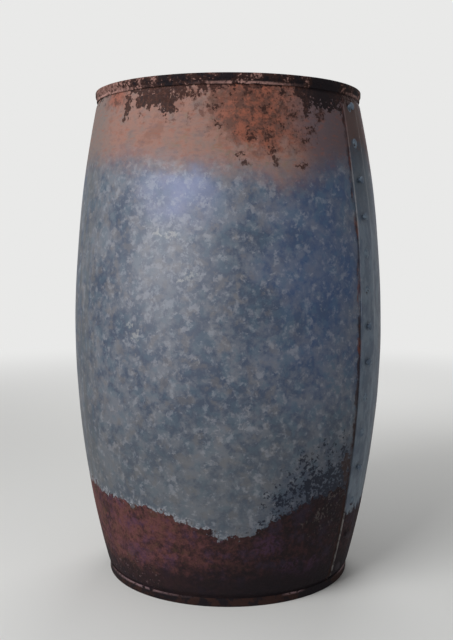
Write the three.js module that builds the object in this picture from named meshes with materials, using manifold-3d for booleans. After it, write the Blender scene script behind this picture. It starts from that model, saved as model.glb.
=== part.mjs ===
// A bilge-shaped steel oil barrel: one rolled sheet lapped and riveted down its side, two pressed heads held in
// its ends by channel hoops, and two screw plugs in the top head.
// Millimetres, +Z up, origin at the centre of the circle that the barrel stands on. Azimuths are measured from
// the front (-Y) towards +X.
import * as THREE from "three";
import { mergeVertices } from "three/addons/utils/BufferGeometryUtils.js";
import Module from "manifold-3d";

const wasm = await Module();
wasm.setup();

// Whole barrel
const HEIGHT = 900;
const FACETS = 36; // flats round the shell, heads and hoops, all turned alike so that they nest
const FACET_ANGLE = (2 * Math.PI) / FACETS;
const SEAM_AZIMUTH = THREE.MathUtils.degToRad(52.3); // outer edge of the lap
const GAP = 0.3; // between pieces that touch on the real barrel

// Shell sheet
const SHEET = 2;
const BELLY = { z: 460, radius: 290.3 };
const LOWER_END = { z: 2.8, straightTo: 17, neckZ: 24.5, radius: 228.2, neckRadius: 234 };
const UPPER_END = { z: HEIGHT - 2.8, straightTo: 881, neckZ: 871.5, radius: 243.3, neckRadius: 246.8 };
const LAP_LIFT = SHEET + GAP; // how far the outer layer of the lap stands off the inner one
const JOGGLE = 0.3; // facets over which the outer layer comes back down to the inner one's level
const FLAP_END = 36.97; // facets from the lap's edge to the hidden edge of the inner layer

// Seam rivets
const RIVET_COUNT = 14;
const RIVET_PITCH = 63.5;
const TOP_RIVET_Z = 860.5;
const RIVET_FLAT = 22; // height of the flat left round the first and last rivet
const RIVET = { headRadius: 9, headHeight: 3.2, shankRadius: 4, tailRadius: 6.8, tailHeight: 2.5, sides: 10 };
const RIVET_HOLE_RADIUS = 4.5;

// Heads and hoops, by their depth from the barrel's nearer end
const HEAD = { sheet: 2.5, corner: 6, panelRadius: 105, panelSlope: 8, panelRise: 3 };
const HOOP = { wall: 2, web: 2.5, edge: 2, innerLegShorter: 4 };
const UPPER_CHIME = { shellRadius: UPPER_END.radius, depth: 18, bead: 1.9, recess: 24, jointAzimuth: SEAM_AZIMUTH };
const LOWER_CHIME = { shellRadius: LOWER_END.radius, depth: 15, bead: 0, recess: 18, jointAzimuth: Math.PI };
const HOOP_JOINT = { width: 1, depth: 1.2 };

// Screw closures in the top head
const DECK_Z = HEIGHT - UPPER_CHIME.recess;
const CLOSURE_CIRCLE = 165;
const COLLAR = { wall: 3.2, curl: 3, rise: 5, flangeThickness: 3, flangeReach: 12 };
const BUNG = {
  name: "bung", azimuth: SEAM_AZIMUTH + 1.5 * Math.PI, bore: 29.6, core: 28.2, below: 11, coreBelow: 9,
  gasket: 2, cap: 4, square: 24, squareHeight: 9.9, sides: 32,
};
const VENT = {
  name: "vent", azimuth: SEAM_AZIMUTH + 0.5 * Math.PI, bore: 13.4, core: 12, below: 8, coreBelow: 6,
  gasket: 1.6, cap: 3, square: 14, squareHeight: 8, sides: 24,
};

// Colours
const GALVANISED = new THREE.MeshStandardMaterial({ color: 0x66717f, roughness: 0.55, metalness: 0.6 });
const RUSTED = new THREE.MeshStandardMaterial({ color: 0x5a3a30, roughness: 0.85, metalness: 0.2 });
const RIVET_STEEL = new THREE.MeshStandardMaterial({ color: 0x707a84, roughness: 0.5, metalness: 0.7 });
const CAST = new THREE.MeshStandardMaterial({ color: 0x4a3a34, roughness: 0.8, metalness: 0.4 });
const GASKET_RUBBER = new THREE.MeshStandardMaterial({ color: 0x22201e, roughness: 0.9, metalness: 0 });

const barrel = new THREE.Group();

// Solids and meshes

function solidOf(geometry) {
  const bare = geometry.index ? geometry.toNonIndexed() : geometry.clone();
  bare.deleteAttribute("normal");
  bare.deleteAttribute("uv");
  const merged = mergeVertices(bare, 1e-4);
  return new wasm.Manifold(
    new wasm.Mesh({
      numProp: 3,
      vertProperties: merged.attributes.position.array,
      triVerts: new Uint32Array(merged.index.array),
    }),
  );
}

function geometryOf(solid) {
  const mesh = solid.getMesh();
  const geometry = new THREE.BufferGeometry();
  geometry.setAttribute("position", new THREE.BufferAttribute(mesh.vertProperties, 3));
  geometry.setIndex(new THREE.BufferAttribute(mesh.triVerts, 1));
  return geometry;
}

function addPiece(name, geometry, material, parent = barrel) {
  const mesh = new THREE.Mesh(geometry, material);
  mesh.name = name;
  parent.add(mesh);
  return mesh;
}

// Turns an outline of [radius, height] points about +Z.
function turned(outline, sides, startAzimuth = 0) {
  const points = outline.map(([radius, height]) => new THREE.Vector2(radius, height));
  return new THREE.LatheGeometry(points, sides, startAzimuth).rotateX(Math.PI / 2);
}

function disc(radius, lowZ, highZ, sides) {
  return new THREE.CylinderGeometry(radius, radius, highZ - lowZ, sides)
    .rotateX(Math.PI / 2)
    .translate(0, 0, (lowZ + highZ) / 2);
}

function atAzimuth(azimuth, radius, z) {
  return new THREE.Vector3(Math.sin(azimuth) * radius, -Math.cos(azimuth) * radius, z);
}

// Points of a quarter circle about [radius, height], from one angle to another, in degrees.
function arc([centreRadius, centreHeight], radius, fromDegrees, toDegrees, steps = 3) {
  return Array.from({ length: steps + 1 }, (_, i) => {
    const angle = THREE.MathUtils.degToRad(fromDegrees + ((toDegrees - fromDegrees) * i) / steps);
    return [centreRadius + radius * Math.cos(angle), centreHeight + radius * Math.sin(angle)];
  });
}

// Shell: the sheet runs once round from the lap's outer edge and on under itself for one facet

function shellRadius(z) {
  if (z <= LOWER_END.straightTo) return LOWER_END.radius;
  if (z >= UPPER_END.straightTo) return UPPER_END.radius;
  const end = z < BELLY.z ? LOWER_END : UPPER_END;
  const share = (z - BELLY.z) / (end.neckZ - BELLY.z);
  return BELLY.radius - (BELLY.radius - end.neckRadius) * share ** 2;
}

function rivetHeight(index) {
  return TOP_RIVET_Z - index * RIVET_PITCH;
}

// Each rivet sits in the middle of a row of flats.
function shellRows() {
  const between = Array.from({ length: RIVET_COUNT - 1 }, (_, i) => rivetHeight(i) - RIVET_PITCH / 2).reverse();
  const lastRivet = rivetHeight(RIVET_COUNT - 1);
  return [
    LOWER_END.z, LOWER_END.straightTo, LOWER_END.neckZ, lastRivet + RIVET_FLAT / 2, ...between,
    TOP_RIVET_Z - RIVET_FLAT / 2, UPPER_END.neckZ, UPPER_END.straightTo, UPPER_END.z,
  ];
}

// The outer layer lies down into the inner one's place inside the hoops, where the inner layer is cut away.
function lapLift(facet, z) {
  if (z < LOWER_END.neckZ || z > UPPER_END.neckZ) return 0;
  return LAP_LIFT * THREE.MathUtils.clamp((1 + JOGGLE - facet) / JOGGLE, 0, 1);
}

// A point of the sheet; facet counts flats round from the lap's edge, and the point lies on the flat.
function sheetPoint(facet, z, inset) {
  const corner = Math.floor(facet);
  const radius = shellRadius(z) + lapLift(facet, z) - inset;
  const from = atAzimuth(SEAM_AZIMUTH + corner * FACET_ANGLE, radius, z);
  const to = atAzimuth(SEAM_AZIMUTH + (corner + 1) * FACET_ANGLE, radius, z);
  return from.lerp(to, facet - corner);
}

function shellSheet() {
  const rows = shellRows();
  const wholeFacets = Array.from({ length: FACETS - 2 }, (_, i) => i + 2);
  const buttFacet = FACETS - GAP / (UPPER_END.radius * FACET_ANGLE);
  const columns = [0, 1, 1 + JOGGLE, ...wholeFacets, buttFacet, FLAP_END];
  const flapColumn = columns.length - 1;
  const buttColumn = flapColumn - 1;
  const flapLow = rows.indexOf(LOWER_END.neckZ);
  const flapHigh = rows.indexOf(UPPER_END.neckZ);

  const positions = [];
  const place = (inset) =>
    columns.map((facet) =>
      rows.map((z) => {
        positions.push(...sheetPoint(facet, z, inset).toArray());
        return positions.length / 3 - 1;
      }),
    );
  const outer = place(0);
  const inner = place(SHEET);

  const faces = [];
  const quad = (a, b, c, d) => faces.push(a, b, c, a, c, d);
  const strip = (column, low, high) => {
    const next = column + 1;
    for (let row = low; row < high; row += 1) {
      quad(outer[column][row], outer[next][row], outer[next][row + 1], outer[column][row + 1]);
      quad(inner[column][row], inner[column][row + 1], inner[next][row + 1], inner[next][row]);
    }
    quad(outer[column][high], outer[next][high], inner[next][high], inner[column][high]);
    quad(outer[column][low], inner[column][low], inner[next][low], outer[next][low]);
  };
  const endFace = (column, low, high) => {
    for (let row = low; row < high; row += 1) {
      quad(outer[column][row], inner[column][row], inner[column][row + 1], outer[column][row + 1]);
    }
  };
  const top = rows.length - 1;
  for (let column = 0; column < buttColumn; column += 1) strip(column, 0, top);
  strip(buttColumn, flapLow, flapHigh);
  for (let row = 0; row < top; row += 1) {
    quad(outer[0][row], outer[0][row + 1], inner[0][row + 1], inner[0][row]);
  }
  endFace(buttColumn, 0, flapLow);
  endFace(buttColumn, flapHigh, top);
  endFace(flapColumn, flapLow, flapHigh);

  const geometry = new THREE.BufferGeometry();
  geometry.setAttribute("position", new THREE.BufferAttribute(new Float32Array(positions), 3));
  return geometry.setIndex(faces);
}

// Where a rivet meets the outer layer's flat, with its axis along the flat's outward normal.
function rivetPlacement(index) {
  const rows = shellRows();
  const z = rivetHeight(index);
  const above = rows.findIndex((row) => row > z);
  const [lowZ, highZ] = [rows[above - 1], rows[above]];
  const low = sheetPoint(0.5, lowZ, 0);
  const high = sheetPoint(0.5, highZ, 0);
  const across = sheetPoint(0.9, lowZ, 0).sub(sheetPoint(0.1, lowZ, 0));
  const normal = across.cross(high.clone().sub(low)).normalize();
  return { position: low.lerp(high, (z - lowZ) / (highZ - lowZ)), normal };
}

function buildShell() {
  const drill = disc(RIVET_HOLE_RADIUS, -20, 20, RIVET.sides);
  let shell = solidOf(shellSheet());
  for (let index = 0; index < RIVET_COUNT; index += 1) {
    const { position, normal } = rivetPlacement(index);
    const turn = new THREE.Quaternion().setFromUnitVectors(new THREE.Vector3(0, 0, 1), normal);
    const hole = drill.clone().applyQuaternion(turn).translate(position.x, position.y, position.z);
    shell = shell.subtract(solidOf(hole));
  }
  addPiece("body_shell", geometryOf(shell), GALVANISED);
}

function buildRivets() {
  const under = -(SHEET + LAP_LIFT + GAP);
  const { headRadius, headHeight, shankRadius, tailRadius, tailHeight } = RIVET;
  const outline = [
    [0, under - tailHeight],
    [tailRadius * 0.85, under - tailHeight],
    [tailRadius, under],
    [shankRadius, under],
    [shankRadius, GAP],
    [headRadius, GAP],
    [headRadius * 0.93, GAP + headHeight * 0.4],
    [headRadius * 0.6, GAP + headHeight * 0.85],
    [0, GAP + headHeight],
  ];
  const shape = turned(outline, RIVET.sides);
  for (let index = 0; index < RIVET_COUNT; index += 1) {
    const { position, normal } = rivetPlacement(index);
    const rivet = addPiece(`seam_rivet_${String(index + 1).padStart(2, "0")}`, shape, RIVET_STEEL);
    rivet.position.copy(position);
    rivet.quaternion.setFromUnitVectors(new THREE.Vector3(0, 0, 1), normal);
  }
}

// Ends: outlines are written as [radius, depth from the end], then stood on the top or bottom end

function standOnEnd(outline, isTop) {
  return isTop ? outline.map(([r, depth]) => [r, HEIGHT - depth]).reverse() : outline;
}

function buildHoop(name, chime, isTop) {
  const outerLeg = chime.shellRadius + GAP;
  const outside = outerLeg + HOOP.wall;
  const innerLeg = chime.shellRadius - SHEET - HEAD.sheet - 2 * GAP;
  const inside = innerLeg - HOOP.wall;
  const innerDepth = chime.depth - HOOP.innerLegShorter;
  const outline = [
    [outside, chime.depth],
    [outerLeg, chime.depth],
    [outerLeg, HOOP.web],
    [innerLeg, HOOP.web],
    [innerLeg, innerDepth],
    [inside, innerDepth],
    [inside, HOOP.edge],
    [inside + HOOP.edge, 0],
    [outside + chime.bead - HOOP.edge, 0],
    [outside + chime.bead, HOOP.edge],
    [outside + chime.bead, chime.depth / 2],
    [outside, chime.depth],
  ];
  const ring = solidOf(turned(standOnEnd(outline, isTop), FACETS, SEAM_AZIMUTH));
  const groove = new THREE.BoxGeometry(HOOP_JOINT.width, 2 * HOOP_JOINT.depth, 2 * chime.depth + 2);
  const at = atAzimuth(chime.jointAzimuth, outside + chime.bead, isTop ? HEIGHT : 0);
  groove.rotateZ(chime.jointAzimuth).translate(at.x, at.y, at.z);
  addPiece(name, geometryOf(ring.subtract(solidOf(groove))), RUSTED);
}

// A dished disc whose rim turns up into the hoop; its middle panel is pressed outwards.
function headOutline(chime) {
  const rimOutside = chime.shellRadius - SHEET - GAP;
  const rimInside = rimOutside - HEAD.sheet;
  const rimDepth = HOOP.web + GAP;
  const bend = [rimInside - HEAD.corner, chime.recess - HEAD.corner];
  const panelDepth = chime.recess - HEAD.panelRise;
  const slopeRadius = HEAD.panelRadius + HEAD.panelSlope;
  return [
    [0, panelDepth],
    [HEAD.panelRadius, panelDepth],
    [slopeRadius, chime.recess],
    ...arc(bend, HEAD.corner, 90, 0),
    [rimInside, rimDepth],
    [rimOutside, rimDepth],
    ...arc(bend, HEAD.corner + HEAD.sheet, 0, 90),
    [slopeRadius, chime.recess + HEAD.sheet],
    [HEAD.panelRadius, panelDepth + HEAD.sheet],
    [0, panelDepth + HEAD.sheet],
  ];
}

function buildHeads() {
  const bottom = turned(standOnEnd(headOutline(LOWER_CHIME), false), FACETS, SEAM_AZIMUTH);
  addPiece("bottom_head", geometryOf(solidOf(bottom)), RUSTED);
  let top = solidOf(turned(standOnEnd(headOutline(UPPER_CHIME), true), FACETS, SEAM_AZIMUTH));
  for (const closure of [BUNG, VENT]) {
    const holeRadius = closure.bore + COLLAR.wall + GAP;
    const centre = atAzimuth(closure.azimuth, CLOSURE_CIRCLE, 0);
    const hole = disc(holeRadius, DECK_Z - 10, DECK_Z + 10, closure.sides).translate(centre.x, centre.y, 0);
    top = top.subtract(solidOf(hole));
  }
  addPiece("top_head", geometryOf(top), RUSTED);
}

// Closures: a collar curled over the head's hole, a gasket on it, and a cast plug with a square to turn it by

function collarSolid({ bore, below, sides }) {
  const neck = bore + COLLAR.wall;
  const flangeHigh = -HEAD.sheet - GAP;
  const outside = solidOf(disc(neck, -below, COLLAR.rise, sides))
    .add(solidOf(disc(neck + COLLAR.curl, GAP, COLLAR.rise, sides)))
    .add(solidOf(disc(neck + COLLAR.flangeReach, flangeHigh - COLLAR.flangeThickness, flangeHigh, 8)));
  return outside.subtract(solidOf(disc(bore, -below - 1, COLLAR.rise + 1, sides)));
}

function gasketGeometry({ bore, core, gasket, sides }) {
  const inside = core + GAP + 0.2;
  const outside = bore + COLLAR.wall + 1;
  const low = COLLAR.rise + GAP;
  return turned(
    [[inside, low], [outside, low], [outside, low + gasket], [inside, low + gasket], [inside, low]],
    sides,
  );
}

function plugSolid({ bore, core, coreBelow, gasket, cap, square, squareHeight, sides }) {
  const capLow = COLLAR.rise + gasket + 2 * GAP;
  const capHigh = capLow + cap;
  const outline = [
    [0, -coreBelow],
    [core - 1, -coreBelow],
    [core, 1 - coreBelow],
    [core, capLow],
    [bore + COLLAR.wall + COLLAR.curl, capLow],
    [bore + COLLAR.wall + COLLAR.curl, capHigh - 1],
    [bore + COLLAR.wall + COLLAR.curl - 1, capHigh],
    [0, capHigh],
  ];
  const boss = new THREE.BoxGeometry(square, square, squareHeight + 1).translate(0, 0, capHigh + (squareHeight - 1) / 2);
  return solidOf(turned(outline, sides)).add(solidOf(boss));
}

function buildClosure(closure) {
  const group = new THREE.Group();
  group.position.copy(atAzimuth(closure.azimuth, CLOSURE_CIRCLE, DECK_Z));
  barrel.add(group);
  addPiece(`${closure.name}_collar`, geometryOf(collarSolid(closure)), RUSTED, group);
  addPiece(`${closure.name}_gasket`, gasketGeometry(closure), GASKET_RUBBER, group);
  addPiece(`${closure.name}_plug`, geometryOf(plugSolid(closure)), CAST, group);
}

buildShell();
buildRivets();
buildHoop("top_hoop", UPPER_CHIME, true);
buildHoop("bottom_hoop", LOWER_CHIME, false);
buildHeads();
buildClosure(BUNG);
buildClosure(VENT);

export default barrel;
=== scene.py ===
"""The fine surface of a rusty riveted oil barrel, built round its solid frame as a Blender add-on.

Everything is in metres in the frame's own axes: +Z up, -Y the front. Azimuths run from the front towards +X.
"""
import math
from functools import reduce
from operator import and_, or_

import bmesh
import bpy
from mathutils import Matrix, Vector, noise


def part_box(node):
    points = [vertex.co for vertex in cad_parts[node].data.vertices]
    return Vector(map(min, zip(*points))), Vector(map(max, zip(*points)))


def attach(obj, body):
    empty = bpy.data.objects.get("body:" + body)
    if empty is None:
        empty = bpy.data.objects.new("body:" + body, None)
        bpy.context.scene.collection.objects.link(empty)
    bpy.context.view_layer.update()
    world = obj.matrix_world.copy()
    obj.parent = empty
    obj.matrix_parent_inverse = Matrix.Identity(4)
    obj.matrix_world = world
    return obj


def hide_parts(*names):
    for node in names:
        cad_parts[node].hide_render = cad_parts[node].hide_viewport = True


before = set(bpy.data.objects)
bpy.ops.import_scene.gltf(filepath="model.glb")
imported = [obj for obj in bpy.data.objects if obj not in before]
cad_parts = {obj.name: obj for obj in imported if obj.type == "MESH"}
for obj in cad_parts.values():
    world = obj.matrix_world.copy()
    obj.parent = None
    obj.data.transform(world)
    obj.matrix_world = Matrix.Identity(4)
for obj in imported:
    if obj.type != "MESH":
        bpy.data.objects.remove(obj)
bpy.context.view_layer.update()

bl_info = {
    "name": "Riveted Oil Barrel",
    "version": (1, 0, 0),
    "blender": (4, 5, 0),
    "location": "3D View > Sidebar > Barrel",
    "description": "Builds the fine surface of a rusty riveted oil barrel round its solid frame",
    "category": "Add Mesh",
}

# Levels and places that come from the frame
BARREL_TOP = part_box("top_hoop")[1].z
SHELL_LOW, SHELL_HIGH = (corner.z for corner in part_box("body_shell"))
TOP_HOOP_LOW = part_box("top_hoop")[0].z
BOTTOM_HOOP_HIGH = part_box("bottom_hoop")[1].z
RIVET_NODES = sorted(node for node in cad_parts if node.startswith("seam_rivet_"))
TOP_RIVET, LAST_RIVET = (
    sum(corner.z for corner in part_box(node)) / 2 for node in (RIVET_NODES[0], RIVET_NODES[-1])
)
RIVET_PITCH = (TOP_RIVET - LAST_RIVET) / (len(RIVET_NODES) - 1)

# The lap seam, in degrees round the barrel
SEAM_EDGE = 52.3
LAP_WIDTH = 10.0
JOGGLE_WIDTH = 3.0
FLAP_END = 369.7
RIVET_LINE = SEAM_EDGE + LAP_WIDTH / 2

# The sheet's necks, where it runs into the hoops
LOWER_NECK = {"level": 0.0245, "radius": 0.234, "end_level": 0.017, "end_radius": 0.2282}
UPPER_NECK = {"level": 0.8715, "radius": 0.2468, "end_level": 0.881, "end_radius": 0.2433}
CLEARANCE = 0.0003
SLACK = 0.0002

# How the surfaces are shaded
GLOSS = 0.15
CREASE = math.radians(35)

# The waves of beaten metal, the seed of the rivets' sizes and the drill for the collars' holes
HOOP_WAVE = 0.06
HEAD_WAVE = 0.15
COLLAR_WAVE = 0.01
COLLAR_WAVINESS = 0.0002
RIVET_SEED = 7
DRILL_REACH = 0.01

# The plugs' squares and gaskets, and their threads, whose crest and start are shares of the pitch
SQUARE_BEVEL = 0.0012
THREAD_ROOT = 0.0004
THREAD_CREST = 0.36
THREAD_START = 0.6
GASKET_OVERHANG = 0.001

# How finely the pieces are divided
HOOP_SIDES = 180
HEAD_SIDES = 144
CLOSURE_SIDES = 96
DRILL_SIDES = 64
RIVET_SIDES = 24
FLOOR_SIDES = 96
THREAD_STEPS = 48
SHEET_COLUMNS = {"lap": 27, "round": 170, "flap": 8}
SHEET_ROWS = {"end": 3, "neck": 5, "bilge": 158}


def shade(red, green, blue):
    """A colour as it shows on a screen, 0 to 255, turned into the linear numbers that Blender holds."""
    def linear(value):
        share = value / 255
        return share / 12.92 if share <= 0.04045 else ((share + 0.055) / 1.055) ** 2.4

    return tuple(linear(value) for value in (red, green, blue))


def number(name, description, default, **settings):
    return bpy.props.FloatProperty(name=name, description=description, default=default, **settings)


def length(name, description, metres):
    return number(name, description, metres, min=0.0, subtype="DISTANCE", unit="LENGTH")


def angle(name, description, degrees):
    return number(name, description, math.radians(degrees), subtype="ANGLE", unit="ROTATION")


def power(name, description, watts):
    return number(name, description, watts, min=0.0, unit="POWER")


def colour(name, description, *display):
    settings = {"size": 3, "min": 0.0, "max": 1.0, "subtype": "COLOR"}
    return bpy.props.FloatVectorProperty(
        name=name, description=description, default=shade(*display), **settings
    )


class BarrelShell(bpy.types.PropertyGroup):
    """Sizes of the rolled sheet."""

    belly_radius: length("Belly Radius", "Radius of the barrel at its widest", 0.2903)
    belly_level: length("Belly Level", "Height of the widest part above the floor", 0.460)
    sheet: length("Sheet", "Thickness of the rolled sheet", 0.002)
    unevenness: length("Unevenness", "How far the sheet strays from a true round", 0.0011)
    dimple: length("Rivet Dimple", "How far a rivet pulls the sheet in", 0.0009)
    dimple_reach: length("Dimple Reach", "How far from a rivet the sheet is pulled in", 0.015)
    worn_edge: length("Worn Edge", "Rounding of the lap's outer edge", 0.0007)


class BarrelRivets(bpy.types.PropertyGroup):
    """Sizes of the seam's rivets."""

    count: bpy.props.IntProperty(
        name="Count", description="Number of rivets down the seam", default=len(RIVET_NODES), min=1
    )
    pitch: length("Pitch", "Distance from rivet to rivet", RIVET_PITCH)
    head_radius: length("Head Radius", "Radius of the round head", 0.009)
    head_height: length("Head Height", "How far the head stands off the sheet", 0.0034)
    shank_radius: length("Shank Radius", "Radius of the shank through both layers", 0.004)
    tail_radius: length("Tail Radius", "Radius of the hammered tail inside", 0.0068)
    tail_height: length("Tail Height", "Thickness of the hammered tail", 0.0025)
    variation: number("Variation", "Share by which a rivet's size strays", 0.04, min=0.0, max=0.5)


class BarrelEnds(bpy.types.PropertyGroup):
    """Sizes of the hoops, the heads and the closures' collars."""

    wall: length("Hoop Wall", "Thickness of a hoop's legs", 0.002)
    web: length("Hoop Web", "Thickness of a hoop across the barrel's end", 0.0025)
    sheet: length("Shell Sheet", "Thickness of the rolled sheet inside the hoop", 0.002)
    shoulder: length("Hoop Shoulder", "Rounding of a hoop's edges", 0.0018)
    inner_leg_shorter: length("Inner Leg Shorter", "How much less deep a hoop's inner leg is", 0.004)
    bead: length("Bead", "How far the top hoop's bead stands out", 0.0019)
    joint_width: length("Joint Width", "Width of the groove where a hoop's ends meet", 0.0014)
    joint_depth: length("Joint Depth", "Depth of the groove where a hoop's ends meet", 0.0024)
    waviness: length("Waviness", "How far beaten metal strays from its true shape", 0.0005)
    head_sheet: length("Head Sheet", "Thickness of the heads", 0.0025)
    top_recess: length("Top Recess", "Depth of the top head below the rim", 0.024)
    bottom_recess: length("Bottom Recess", "Height of the bottom head above the floor", 0.018)
    corner: length("Corner", "Inside radius where a head turns up", 0.006)
    panel_radius: length("Panel Radius", "Radius of a head's pressed middle", 0.105)
    panel_slope: length("Panel Slope", "Width of the slope round the pressed middle", 0.008)
    panel_rise: length("Panel Rise", "How far a head's middle is pressed out", 0.003)
    collar_wall: length("Collar Wall", "Thickness of a collar's neck", 0.0032)
    collar_curl: length("Collar Curl", "How far a collar's lip rolls outwards", 0.003)
    collar_rise: length("Collar Rise", "Height of a collar above the head", 0.005)
    flange_thickness: length("Flange Thickness", "Thickness of a collar's flange", 0.003)
    flange_reach: length("Flange Reach", "How far a collar's flange reaches", 0.012)


class BarrelBung(bpy.types.PropertyGroup):
    """Sizes of the large closure."""

    bore: length("Bore", "Inside radius of the collar", 0.0296)
    core: length("Core", "Radius of the plug's core", 0.0282)
    neck_below: length("Neck Below", "How far the collar reaches below the head", 0.011)
    core_below: length("Core Below", "How far the plug reaches below the head", 0.009)
    gasket: length("Gasket", "Thickness of the gasket", 0.002)
    cap: length("Cap", "Thickness of the plug's cap", 0.004)
    square: length("Square", "Width of the square boss", 0.024)
    square_height: length("Square Height", "Height of the square boss", 0.0099)
    thread_pitch: length("Thread Pitch", "Rise of the thread in one turn", 0.0023091)


class BarrelVent(bpy.types.PropertyGroup):
    """Sizes of the small closure."""

    bore: length("Bore", "Inside radius of the collar", 0.0134)
    core: length("Core", "Radius of the plug's core", 0.012)
    neck_below: length("Neck Below", "How far the collar reaches below the head", 0.008)
    core_below: length("Core Below", "How far the plug reaches below the head", 0.006)
    gasket: length("Gasket", "Thickness of the gasket", 0.0016)
    cap: length("Cap", "Thickness of the plug's cap", 0.003)
    square: length("Square", "Width of the square boss", 0.014)
    square_height: length("Square Height", "Height of the square boss", 0.008)
    thread_pitch: length("Thread Pitch", "Rise of the thread in one turn", 0.0018143)


class BarrelFinish(bpy.types.PropertyGroup):
    """Colours of the weathered metal, and of the light and shade painted onto it."""

    zinc: colour("Zinc", "Weathered zinc", 110, 114, 123)
    zinc_dark: colour("Dark Zinc", "Shaded flecks in the zinc", 70, 80, 98)
    zinc_pale: colour("Pale Zinc", "Oxide on the zinc", 158, 160, 168)
    # Painted shade: the dark blue wash right of the front, broken into flecks
    zinc_blue_shade: colour("Blue Zinc", "Deep blue flecks and the blue right of the front", 58, 84, 128)
    # Painted reflection: a pale lavender patch of sky mirrored in the zinc below the dust
    lavender_reflection: colour("Zinc Glow", "Pale lavender patch below the dust", 127, 134, 166)
    zinc_beige: colour("Beige Zinc", "Dull beige flecks in the zinc", 112, 108, 108)
    zinc_teal: colour("Teal Zinc", "Dull teal flecks in the zinc", 84, 103, 117)
    zinc_spot: colour("Zinc Spot", "Small pale spots left of the front", 190, 188, 184)
    zinc_low: colour("Low Zinc", "Greener grey of the zinc near the foot", 91, 95, 97)
    streak_grey: colour("Streak Grey", "Upright streaks left of the front", 87, 88, 88)
    dust: colour("Rust Dust", "Pink dust washed down from the rim", 143, 109, 99)
    dust_grey: colour("Grey Dust", "Beige grey dust", 116, 108, 105)
    dust_olive: colour("Olive Dust", "Olive grey places in the dust", 116, 106, 90)
    # Purple grey for dust in places, and for painted shade on the dust right of the front
    dust_and_shade: colour("Dark Dust", "Purple grey dust right of the front", 96, 84, 91)
    rust_bright: colour("Bright Rust", "Fresh rust on the rim's bare patch", 142, 88, 74)
    rust_orange: colour("Orange Rust", "Fresh rust", 137, 79, 61)
    rust_brown: colour("Brown Rust", "Old rust", 88, 58, 50)
    rust_dark: colour("Dark Rust", "Oldest rust and drips", 50, 33, 30)
    scale_black: colour("Black Scale", "Flaking scale", 27, 22, 26)
    soot: colour("Soot", "Black specks above the tide line", 27, 31, 44)
    soot_blue: colour("Blue Soot", "Dark blue haze round the black specks", 48, 58, 80)
    maroon: colour("Maroon Rust", "Rust at the foot", 104, 65, 64)
    maroon_deep: colour("Deep Maroon", "Shaded flecks in the foot's rust", 52, 34, 37)
    maroon_violet: colour("Violet Rust", "Violet tint in the foot's rust", 78, 55, 80)
    rust_olive: colour("Olive Rust", "Olive brown flecks in the foot's rust", 86, 66, 48)
    worn_pink: colour("Worn Pink", "Rubbed edges of the hoops", 178, 138, 130)
    violet_black: colour("Violet Black", "Violet tint in the black rust at the foot", 48, 42, 56)
    worn_rose: colour("Worn Rose", "Rubbed edge of the bottom hoop", 142, 116, 120)
    # Painted highlight: a pale line along the lap's outer edge
    lap_edge_highlight: colour("Worn Pale", "Rubbed edge of the lap", 170, 166, 164)
    lap_grey: colour("Lap Grey", "Clean zinc on the lap", 109, 122, 135)
    lap_shade: colour("Lap Shade", "Shaded zinc on the lap", 84, 96, 112)
    lap_teal: colour("Lap Teal", "Zinc on the lap near its top", 60, 72, 84)
    lap_brown: colour("Lap Brown", "Stained top of the lap", 88, 70, 66)
    rubber: colour("Rubber", "Old gasket rubber", 38, 35, 33)


class BarrelStudio(bpy.types.PropertyGroup):
    """The camera, lamps and floor."""

    lens: number("Lens", "Focal length in millimetres", 50.0, min=1.0, unit="CAMERA")
    sensor: number("Sensor", "Height of the camera's sensor in millimetres", 36.0, min=1.0, unit="CAMERA")
    camera_distance: length("Camera Distance", "From the barrel's axis", 1.7102)
    camera_level: length("Camera Level", "Height above the floor", 0.6331)
    camera_tilt: angle("Camera Tilt", "Angle below the horizon", 5.254)
    camera_turn: angle("Camera Turn", "Angle away from the barrel's axis", 0.0974)
    key_azimuth: angle("Key Azimuth", "Where the main lamp stands, round from the front", -38.0)
    key_elevation: angle("Key Elevation", "Angle of the main lamp above the barrel's middle", 36.0)
    lamp_distance: length("Lamp Distance", "From the barrel's middle to each lamp", 2.6)
    lamp_width: length("Lamp Width", "Width of the lamps", 1.5)
    key_power: power("Key Power", "Power of the main lamp", 54.0)
    fill_azimuth: angle("Fill Azimuth", "Where the back lamp stands, round from the front", 168.0)
    fill_elevation: angle("Fill Elevation", "Angle of the back lamp above the barrel's middle", 30.0)
    fill_power: power("Fill Power", "Power of the back lamp", 24.0)
    ambient: number("Ambient", "Strength of the even light", 0.22, min=0.0)
    floor: colour("Floor", "Colour of the floor", 226, 226, 224)
    floor_radius: length("Floor Radius", "Radius of the floor", 9.0)
    floor_fade: length("Floor Fade", "How far out the floor starts to run into the backdrop", 0.9)
    backdrop: colour("Backdrop", "Colour behind the barrel", 233, 233, 232)


# Node trees

def math_node(operation, swapped=False):
    """A Python operator that adds a Math node, with its values swapped in a reflected form."""
    def add_node(self, other):
        return self.maths(operation, other, self) if swapped else self.maths(operation, self, other)

    return add_node


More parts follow.
